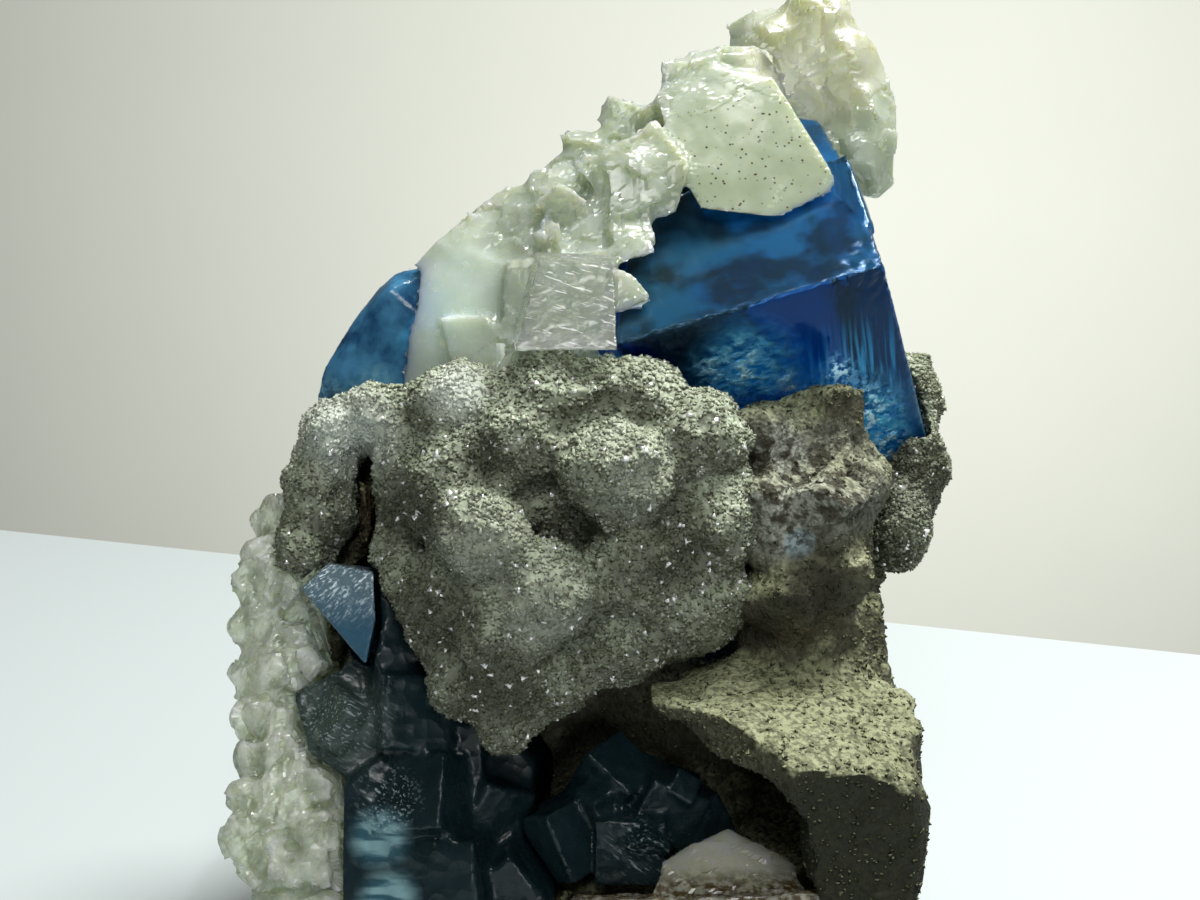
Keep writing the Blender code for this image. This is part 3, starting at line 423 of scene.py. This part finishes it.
def calcite_material():
    """Milky and cream, a little green, with fine brown specks on the plate and a brown crust on the foot, a
    painted glow on its sharp edges, and its foot painted lighter as lit.
    """
    peak_spots = [(10.8, 19.6, 4.6)]
    bluish_spots = [(-8.8, 7.2, 1.8)]
    graph = Graph("calcite")
    cloud = graph.ramp(graph.noise(2.2, 4), [(0.3, 0), (0.7, 1)])
    mottle = graph.ramp(graph.noise(0.5, 4), [(0.4, 0), (0.6, 1)])
    lines = graph.noise(0.3, 3, at=graph.stretched(turned(0.8, -0.5, 0.1), 0.1))
    foot = graph.along(-VIEW_UP, seen(4, -17, 0), 2)
    crust = graph.times(graph.along(-VIEW_UP, seen(4, -20.6, 0), 0.8),
                        graph.ramp(graph.noise(0.4, 4), [(0.4, 0.3), (0.55, 1)]))
    plate = graph.near(PLATE_PLACE, 6.2, 0.3)
    mass = graph.near(MASS_PLACE, 5.0, 0.6)
    calm = graph.most(plate, mass)
    veins = graph.mix(plate, graph.ramp(lines, [(0.56, 0), (0.7, 0.35)]), 0)
    speckled = graph.times(graph.ramp(graph.noise(0.9, 2), [(0.40, 0), (0.48, 1)]),
                           graph.near(PLATE_PLACE, 5.6, 0.4))
    specks = graph.times(graph.ramp(graph.cells(0.34), [(0.14, 1), (0.24, 0)]), speckled)
    colour = graph.layered(
        graph.mix(cloud, (0.52, 0.60, 0.46), (0.78, 0.85, 0.73)),
        (graph.toward(peak_spots, 0.35), graph.mix(cloud, (0.74, 0.76, 0.52), (0.92, 0.94, 0.80))),
        # The foot is cream, and painted lighter as well, standing in for light that the ledge's shadow keeps
        # off it
        (foot, graph.mix(mottle, (0.86, 0.90, 0.68), (0.98, 1.0, 0.86))),
        (crust, (0.16, 0.11, 0.05)),
        (plate, graph.mix(cloud, (0.36, 0.42, 0.29), (0.44, 0.50, 0.36))),
        (mass, graph.mix(cloud, (0.60, 0.73, 0.63), (0.74, 0.86, 0.77))),
        (graph.times(graph.toward(bluish_spots, 0.9), 0.5), (0.45, 0.68, 0.80)),
        (veins, (0.92, 0.94, 0.86)),
        # Painted glow: sharp edges painted a light yellow, as light shines through the rims
        (graph.times(graph.edges(0.53, 0.6), 0.7), (0.95, 0.98, 0.80)),
        (specks, (0.06, 0.035, 0.01)))
    return graph.finish(
        Base_Color=colour, IOR=CALCITE_IOR,
        Roughness=graph.ramp(graph.noise(1.2, 3), [(0.3, 0.08), (0.7, 0.3)]),
        Subsurface_Weight=1.0, Subsurface_Radius=(1.0, 0.9, 0.55), Subsurface_Scale=1.6 * MM,
        Transmission_Weight=graph.mix(calm, 0.5, 0.2),
        Normal=graph.bump(graph.mix(calm, graph.noise(0.5, 3), 0.5), 0.022))


def clear_calcite_material():
    """Clear to frosted, with cleavage lines."""
    graph = Graph("calcite_clear")
    cloud = graph.noise(1.6, 4)
    lines = graph.noise(0.22, 2, at=graph.stretched(turned(0.5, 1, 0), 0.05))
    thin = graph.noise(0.16, 2, at=graph.stretched(turned(1, -0.35, 0), 0.03))
    scratch = graph.ramp(thin, [(0.62, 0), (0.68, 1)])
    frost = graph.mix(cloud, (0.62, 0.68, 0.60), (0.84, 0.88, 0.82))
    return graph.finish(
        Base_Color=graph.mix(scratch, frost, (0.95, 0.97, 0.95)), IOR=CLEAR_CALCITE_IOR,
        Roughness=graph.ramp(cloud, [(0.3, 0.06), (0.7, 0.24)]),
        Subsurface_Weight=0.8, Subsurface_Radius=(1.0, 1.0, 0.8), Subsurface_Scale=1.5 * MM,
        Transmission_Weight=graph.mix(scratch, 0.85, 0.4),
        Normal=graph.bump(graph.mix(0.4, graph.noise(0.6, 3), lines), 0.02))


def frill_material():
    """Milky, thin and pale, letting a little light through."""
    graph = Graph("calcite_frill")
    cloud = graph.ramp(graph.noise(1.1, 4), [(0.35, 0), (0.65, 1)])
    return graph.finish(
        Base_Color=graph.mix(cloud, (0.70, 0.77, 0.60), (0.88, 0.94, 0.81)), IOR=CLEAR_CALCITE_IOR,
        Roughness=graph.ramp(cloud, [(0, 0.08), (1, 0.22)]),
        Subsurface_Weight=1.0, Subsurface_Radius=(1.0, 0.95, 0.7), Subsurface_Scale=1.4 * MM,
        Transmission_Weight=graph.mix(cloud, 0.65, 0.4),
        Normal=graph.bump(graph.noise(0.3, 3), 0.03))


def druse_material():
    """Sugary quartz, grey and olive, with painted shade facing down and in spots, paler spots partly painted
    light, and a few grains painted white as sparkles.
    """
    pale_and_lit_spots = [(-7.0, 2.6, 0, 2.4), (-6.0, -4.6, -4.4, 2.8), (-2.8, -7.6, -4.6, 2.8),
                  (1.0, -1.0, -4.2, 2.8), (-14.0, 1.2, 4.6, 2.6)]
    fluffy_spots = [(-12.6, 0.9, 3.0), (-7.2, 2.8, 1.8)]
    painted_shade_spots = [(-8.2, -8.5, 2.8), (-6.0, -0.4, 1.8), (-9.4, -3.0, 2.2), (15.8, -1.5, 3.6),
                  (-5.2, -11.8, 2.8), (3.6, -5.2, 2.4)]
    graph = Graph("druse")
    grain = graph.chance()
    broad = graph.ramp(graph.noise(3.6, 3), [(0.35, 0), (0.65, 1)])
    # Painted glints: a few grains painted white and made partly metallic, as sparkles
    white = graph.most(graph.marked(SPARKLE), graph.ramp(grain, [(0.988, 0), (0.990, 1)]))
    colour = graph.layered(
        graph.mix(broad, (0.19, 0.225, 0.14), (0.40, 0.47, 0.33)),
        # Painted shade: darker where the surface faces down
        (graph.facing(-VIEW_UP, -0.45, 0.5), (0.06, 0.06, 0.038)),
        (graph.ramp(grain, [(0, 0.75), (0.35, 0)]), (0.09, 0.09, 0.055)),
        (graph.ramp(graph.noise(0.5, 3), [(0.36, 0.7), (0.5, 0)]), (0.08, 0.08, 0.05)),
        # Paler in spots: whitish druse on the shoulder, and painted light on the tops of the lobes
        (graph.times(graph.near_any(pale_and_lit_spots, 0.8), 0.7), (0.50, 0.53, 0.44)),
        (graph.times(graph.toward(fluffy_spots, 0.7), 0.8), (0.62, 0.68, 0.60)),
        (graph.ramp(grain, [(0.6, 0), (0.95, 0.4)]), (0.60, 0.64, 0.54)),
        # Painted shade: darker in a few spots
        (graph.times(graph.toward(painted_shade_spots), 0.72), (0.05, 0.05, 0.032)),
        (white, (1.0, 1.0, 1.0)))
    return graph.finish(
        Base_Color=colour, IOR=QUARTZ_IOR, Roughness=graph.mix(white, 0.42, 0.2), Specular_IOR_Level=0.2,
        Metallic=graph.mix(white, 0, 0.35),
        Subsurface_Weight=0.3, Subsurface_Radius=(1, 1, 0.75), Subsurface_Scale=0.25 * MM,
        Normal=graph.bump(graph.cells(0.26), 0.06))


def rock_material():
    """Granular rock: khaki on top and dark olive-brown below, partly its own tones and partly painted light
    on the tops and painted shade on the sides and the ledge's front; grey-white and brown on the right wall,
    with painted shade in its crevices and in spots.
    """
    painted_ledge_shade_spots = [(13.0, -21.0, 7.0)]
    wall_spots = [(8.6, -1.0, 3.6), (11.6, -1.6, 3.4), (9.0, -3.6, 2.4)]
    brown_spots = [(-11.5, -3.2, 4.0, 3.6), (-14.6, -9.6, 3.6, 3.0), (9.8, -8.0, 0.2, 2.4)]
    bluish_spots = [(10.0, -4.7, -1.4, 0.9), (6.8, -7.0, 0, 0.7)]
    painted_shade_spots = [(10.8, -6.8, 2.4), (7.8, -8.8, 1.8)]
    graph = Graph("matrix")
    grain = graph.chance()
    broad = graph.ramp(graph.noise(3.0, 4), [(0.35, 0), (0.65, 1)])
    patchy = graph.ramp(graph.noise(0.9, 4), [(0.36, 0), (0.6, 1)])
    wall = graph.toward(wall_spots)
    # Painted light and shade: lighter where the surface faces up and darker on the sides, over the rock's own
    # tones
    level = graph.facing((0, 0, 1), 0.3, 0.85)
    up = graph.math("MULTIPLY", level, graph.math("ADD", patchy, 0.5), clamp=True)
    # Loose grains are lighter, most of all on the painted-light tops
    loose = graph.times(graph.ramp(grain, [(0.3, 0), (1.0, 0.45)]), graph.math("ADD", up, 0.06))
    # Painted shade: dark crevices painted on the grey-white wall
    painted_crevice_shade = graph.times(graph.ramp(graph.noise(0.8, 5), [(0.44, 0.92), (0.54, 0)]), wall)
    side = graph.layered(
        graph.mix(broad, (0.035, 0.034, 0.023), (0.085, 0.083, 0.055)),
        (graph.times(patchy, 0.35), (0.13, 0.13, 0.085)),
        # Painted shade: the ledge's front painted nearly black
        (graph.toward(painted_ledge_shade_spots, 0.4), (0.014, 0.015, 0.010)))
    top = graph.mix(broad, (0.17, 0.185, 0.08), (0.32, 0.35, 0.20))
    colour = graph.layered(
        side, (up, top),
        (graph.times(wall, graph.ramp(broad, [(0, 0.3), (1, 0.95)])), (0.38, 0.40, 0.35)),
        (graph.times(graph.near_any(brown_spots, 0.8), 0.75), (0.085, 0.055, 0.03)),
        (graph.near_any(bluish_spots, 0.3), (0.30, 0.38, 0.40)),
        (loose, (0.40, 0.42, 0.28)),
        (graph.ramp(graph.noise(0.3, 3), [(0.42, 0.6), (0.54, 0)]), (0.035, 0.035, 0.02)),
        # Painted shade: darker in a few spots
        (graph.times(graph.toward(painted_shade_spots), 0.85), (0.03, 0.028, 0.02)),
        (painted_crevice_shade, (0.03, 0.026, 0.016)))
    relief = graph.bump(graph.cells(0.22), 0.1, graph.bump(graph.noise(0.5, 4), 0.2))
    return graph.finish(Base_Color=colour, Roughness=0.65, Specular_IOR_Level=0.12, Normal=relief)


# Meshes

def cad_mesh(node):
    """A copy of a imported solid's mesh with its points joined."""
    bm = bmesh.new()
    bm.from_mesh(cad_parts[node].data)
    bmesh.ops.remove_doubles(bm, verts=bm.verts, dist=0.001 * MM)
    mesh = bpy.data.meshes.new(node)
    bm.to_mesh(mesh)
    bm.free()
    return mesh


def linked(name, mesh):
    """A new object in the scene with this mesh."""
    obj = bpy.data.objects.new(name, mesh)
    bpy.context.scene.collection.objects.link(obj)
    return obj


def settled(obj):
    """The mesh that the object's modifiers make, with the object removed."""
    graph = bpy.context.evaluated_depsgraph_get()
    mesh = bpy.data.meshes.new_from_object(obj.evaluated_get(graph))
    bpy.data.objects.remove(obj)
    return mesh


def remeshed(mesh, voxel):
    """The mesh built again from cells of this size in millimetres."""
    obj = linked("work", mesh)
    remesh = obj.modifiers.new("Remesh", "REMESH")
    remesh.mode = "VOXEL"
    remesh.voxel_size = voxel * MM
    return settled(obj)


def smoothed(mesh, rounds):
    """The mesh with its edges rounded off."""
    obj = linked("work", mesh)
    smooth = obj.modifiers.new("Smooth", "SMOOTH")
    smooth.factor = 0.5
    smooth.iterations = rounds
    return settled(obj)


def places_of(mesh):
    """The mesh's points in millimetres, and their normals."""
    places = np.empty(len(mesh.vertices) * 3)
    mesh.vertices.foreach_get("co", places)
    normals = np.empty(len(mesh.vertices) * 3)
    mesh.vertices.foreach_get("normal", normals)
    return places.reshape(-1, 3) / MM, normals.reshape(-1, 3)


def moved(mesh, amount):
    """Moves each point along its normal by amount(place), all in millimetres."""
    places, normals = places_of(mesh)
    moves = np.array([amount(Vector(place)) for place in places])
    mesh.vertices.foreach_set("co", ((places + normals * moves[:, None]) * MM).ravel())
    mesh.update()
    return mesh


def facets(place, size, height):
    """Relief of tilted flat cells, as on a fractured stone."""
    spot = place / size
    centre = noise.voronoi(spot)[1][0]
    tilt = noise.noise_vector(centre * 7.3)
    return height * (noise.noise(centre * 5.1) + 1.6 * tilt.dot(spot - centre))


def lumpy(place, size, height, octaves=3):
    """Relief of rounded lumps."""
    return height * noise.fractal(place / size, 0.7, 2.1, octaves)


# The mark on a grain painted white as a sparkle, and how many times larger such a grain is
SPARKLE = "sparkle"
SPARKLE_GROWTH = 1.3

# A grain: a closed three-sided point, whose base comes last and is sunk into the surface
GRAIN = np.array([(0.52, 0, -0.15), (-0.26, 0.45, -0.15), (-0.26, -0.45, -0.15), (0, 0, 0.42)])
GRAIN_FACES = np.array([(0, 1, 3), (1, 2, 3), (2, 0, 3), (0, 2, 1)])

# The least and most that a grain is drawn out
GRAIN_STRETCH = (0.7, 1.15)

# The druse and its rim: how many grains each, and how many of those sparkle. A grain's size is its least
# and its most, in millimetres, and its lean is how much it strays from standing straight up.
DRUSE_GRAINS = {"quartz_druse": (37000, 300), "druse_rim": (7000, 60)}
DRUSE_VOXEL = 0.3
DRUSE_GRAIN_SIZE = (0.2, 0.48)
DRUSE_LEAN = 0.4

ROCK_GRAINS = 27000
ROCK_VOXEL = 0.42
ROCK_GRAIN_SIZE = (0.15, 0.42)
ROCK_LEAN = 0.8

# Above the rock's flat foot: where its relief begins, over what height it grows, where the grains begin
FOOT_BARE = 0.1
FOOT_RISE = 1.2
GRAINS_FROM = 0.5

# How far the chips reach round the large cube's near corner, and how deep they go, in millimetres
CHIP_REACH = 2.6
CHIP_DEPTH = 0.5


def unit(vectors):
    return vectors / np.linalg.norm(vectors, axis=1)[:, None]


def scattered(mesh, count, size, lean, seed, keep=None, sparkles=0):
    """The mesh with grains set over it, all joined in one mesh, the first few marked to sparkle.

    The grains' sides are shaded smooth and their sunken bases flat.
    """
    draw = np.random.default_rng(seed)
    mesh.calc_loop_triangles()
    corners = np.empty(len(mesh.loop_triangles) * 3, np.int32)
    mesh.loop_triangles.foreach_get("vertices", corners)
    corners = corners.reshape(-1, 3)
    places, _ = places_of(mesh)
    a, b, c = (places[corners[:, i]] for i in range(3))
    cross = np.cross(b - a, c - a)
    area = np.linalg.norm(cross, axis=1)
    picked = draw.choice(len(corners), count, p=area / area.sum())
    normals = cross[picked] / area[picked, None]
    u, v = draw.random((2, count))
    flip = u + v > 1
    u[flip], v[flip] = 1 - u[flip], 1 - v[flip]
    spots = a[picked] + (b - a)[picked] * u[:, None] + (c - a)[picked] * v[:, None]
    if keep is not None:
        chosen = keep(spots)
        spots, normals = spots[chosen], normals[chosen]
        count = len(spots)
    up = unit(normals + draw.normal(0, lean, (count, 3)))
    side = unit(np.cross(up, draw.normal(0, 1, (count, 3))))
    sizes = draw.uniform(*size, count)[:, None, None]
    sizes[:sparkles] *= SPARKLE_GROWTH
    stretch = draw.uniform(*GRAIN_STRETCH, count)[:, None]
    axes = np.stack([side, np.cross(up, side), up * stretch], axis=1)
    grains = spots[:, None, :] + (GRAIN[None] @ axes) * sizes
    grain_faces = (np.arange(count) * len(GRAIN))[:, None, None] + GRAIN_FACES[None] + len(places)
    points = np.concatenate([places, grains.reshape(-1, 3)]) * MM
    triangles = np.concatenate([corners, grain_faces.reshape(-1, 3)])
    joined = bpy.data.meshes.new("grains")
    joined.from_pydata(points.tolist(), [], triangles.tolist())
    smooth = np.ones(len(triangles), bool)
    smooth[len(corners) + len(GRAIN_FACES) - 1::len(GRAIN_FACES)] = False
    joined.polygons.foreach_set("use_smooth", smooth)
    marks = np.zeros(len(points), np.float32)
    marks[len(places):len(places) + sparkles * len(GRAIN)] = 1
    joined.attributes.new(SPARKLE, "FLOAT", "POINT").data.foreach_set("value", marks)
    return joined


def placed(name, mesh, finish, nodes):
    """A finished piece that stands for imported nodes."""
    obj = linked(name, mesh)
    mesh.materials.clear()
    mesh.materials.append(finish)
    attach(obj, "root")
    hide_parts(*nodes)
    return obj


def above_foot(spots):
    return spots[:, 2] > GRAINS_FROM


def seam_swell(place):
    """How far the druse and the rock swell towards each other along the line where they meet."""
    nearest = min((place - spot / MM).length for spot in SEAM_PLACES)
    return SEAM_SWELL * max(0.0, 1 - nearest / SEAM_REACH)


def crusty(place):
    """Relief of the druse, drawn in by what its grains stand proud."""
    return lumpy(place, 1.0, 0.2) + lumpy(place, 0.4, 0.08, 2) - 0.12 + seam_swell(place)


def fractured(place):
    """Relief of the rock, which fades out at its flat foot."""
    relief = facets(place, 2.6, 0.3) + lumpy(place, 0.9, 0.16) - 0.2 + seam_swell(place)
    return relief * min(1.0, max(0.0, (place.z - FOOT_BARE) / FOOT_RISE))


def polished(place):
    """Relief of the blue crystals: nearly flat, but chipped round the large cube's near corner."""
    chipped = max(0, 1 - (place - CROWN_CORNER / MM).length / CHIP_REACH)
    return lumpy(place, 2.2, 0.02) - 0.03 - chipped * abs(facets(place, 0.5, CHIP_DEPTH))


def cleaved(place):
    """Relief of the ridge: rough and stepped, but smooth on the plate and on the milky mass."""
    calm = min((place - PLATE_PLACE / MM).length / 6.6, (place - MASS_PLACE / MM).length / 5.5, 1.0)
    stepped = facets(place, 1.7, 0.24) + facets(place, 0.8, 0.06)
    return stepped * calm ** 6 + lumpy(place, 3.0, 0.03, 1) - 0.12 * calm


def peaked(place):
    return facets(place, 1.6, 0.22) - 0.12


def footed(place):
    return facets(place, 1.5, 0.16) - 0.1


def glassy(place):
    return lumpy(place, 0.8, 0.03) - 0.03


def ruffled(place):
    """Relief of thin folded blades."""
    fold = 1 - abs(noise.noise(Vector((place.x / 1.2, place.y / 1.2, place.z / 2.4)))) * 4
    return 0.06 * fold + facets(place, 1.5, 0.36) + facets(place, 0.6, 0.08) + 0.02


def make_druse(finish):
    for node, (count, sparkles) in DRUSE_GRAINS.items():
        mesh = moved(remeshed(cad_mesh(node), DRUSE_VOXEL), crusty)
        mesh = scattered(mesh, count, DRUSE_GRAIN_SIZE, DRUSE_LEAN, SEED, sparkles=sparkles)
        placed(node + "_crust", mesh, finish, [node])


def make_rock(finish):
    mesh = moved(remeshed(cad_mesh("matrix_rock"), ROCK_VOXEL), fractured)
    mesh = scattered(mesh, ROCK_GRAINS, ROCK_GRAIN_SIZE, ROCK_LEAN, SEED + 1, above_foot)
    placed("rock_surface", mesh, finish, ["matrix_rock"])


def make_fluorites():
    blue = fluorite_material()
    dark = dark_fluorite_material()
    for node, voxel, finish, slot in (
            ("fluorite_crown", 0.22, blue, "fluorite"),
            ("fluorite_shoulder", 0.2, shoulder_material(), "fluorite"),
            ("fluorite_corner", 0.14, corner_material(), "fluorite"),
            ("fluorite_recess", 0.22, dark, "fluorite_dark"),
            ("fluorite_chips", 0.16, dark, "fluorite_dark")):
        mesh = moved(remeshed(cad_mesh(node), voxel), polished)
        mesh.shade_smooth()
        placed(node + "_crystal", mesh, finish, [node])


def make_calcites():
    cream = calcite_material()
    for node, voxel, rounds, finish, slot, relief in (
            ("calcite_ridge", 0.2, 4, cream, "calcite", cleaved),
            ("calcite_peak", 0.2, 6, cream, "calcite", peaked),
            ("calcite_foot", 0.2, 2, cream, "calcite", footed),
            ("calcite_rhomb", 0.12, 2, clear_calcite_material(), "calcite_clear", glassy),
            ("calcite_frill", 0.15, 26, frill_material(), "calcite_clear", ruffled)):
        mesh = moved(smoothed(remeshed(cad_mesh(node), voxel), rounds), relief)
        placed(node + "_crystal", mesh, finish, [node])


# Stage and light

# In metres: how far the floor runs on past the view's sides and towards the viewer, and the wall behind
FLOOR_PAST = 2
FLOOR_REACH = 3
WALL_AWAY = 0.9
WALL_HALF = 3
WALL_FOOT = -1
WALL_TOP = 3


def plain_material(name, colour, roughness):
    """A matt material of one colour, a little uneven."""
    graph = Graph(name)
    shade = graph.noise(60.0, 2)
    return graph.finish(
        Base_Color=graph.mix(shade, colour, tuple(0.96 * part for part in colour)), Roughness=roughness)


def flat(name, corners, finish):
    """One flat face with its finish."""
    mesh = bpy.data.meshes.new(name)
    mesh.from_pydata([tuple(corner) for corner in corners], [], [range(len(corners))])
    mesh.materials.append(finish)
    return linked(name, mesh)


def make_stage():
    left = on_floor(*TABLE_EDGE_LEFT)
    right = on_floor(*TABLE_EDGE_RIGHT)
    edge = (right - left).normalized()
    inward = Vector((edge.y, -edge.x, 0)) * FLOOR_REACH
    back_left = left - edge * FLOOR_PAST
    back_right = right + edge * FLOOR_PAST
    table = flat("floor", [back_left + inward, back_right + inward, back_right, back_left],
                 plain_material("floor", (0.52, 0.58, 0.58), 0.7))
    wall = flat("backdrop", [(-WALL_HALF, WALL_AWAY, WALL_FOOT), (WALL_HALF, WALL_AWAY, WALL_FOOT),
                             (WALL_HALF, WALL_AWAY, WALL_TOP), (-WALL_HALF, WALL_AWAY, WALL_TOP)],
                plain_material("backdrop", (0.51, 0.53, 0.485), 0.9))


def area_light(name, place, target, size, power, colour):
    """A round light, its place, target and width in millimetres and its power in watts."""
    data = bpy.data.lights.new(name, "AREA")
    data.shape = "DISK"
    data.size = size * MM
    data.energy = power
    data.color = colour
    lamp = bpy.data.objects.new(name, data)
    bpy.context.scene.collection.objects.link(lamp)
    lamp.location = Vector(place) * MM
    aim = (Vector(target) * MM - lamp.location).normalized()
    lamp.rotation_euler = aim.to_track_quat("-Z", "Y").to_euler()


def make_light():
    """Soft lights from above and in front, and one that washes the wall."""
    world = bpy.data.worlds.new("world")
    bpy.context.scene.world = world
    world.use_nodes = True
    background = world.node_tree.nodes["Background"]
    background.inputs["Color"].default_value = (0.80, 0.82, 0.80, 1)
    background.inputs["Strength"].default_value = 0.08
    middle = (0, 0, 30)
    for light in (
            ("key", (110, 75, 225), middle, 80, 0.62, (1.0, 0.99, 0.97)),
            ("overhead", (45, 25, 250), middle, 70, 0.34, (1.0, 0.99, 0.97)),
            ("front_fill", (0, -150, 180), middle, 90, 0.16, (1.0, 1.0, 0.98)),
            ("low_fill", (70, -200, 30), middle, 60, 0.05, (1.0, 1.0, 1.0)),
            ("glint", (60, -50, 300), middle, 8, 0.1, (1.0, 1.0, 1.0)),
            ("wall_wash", (160, 300, -60), (80, 900, -60), 450, 7, (1.0, 0.99, 0.95))):
        area_light(*light)
    bpy.context.scene.view_settings.view_transform = "Standard"


def main():
    make_camera()
    make_druse(druse_material())
    make_rock(rock_material())
    make_fluorites()
    make_calcites()
    make_stage()
    make_light()


main()
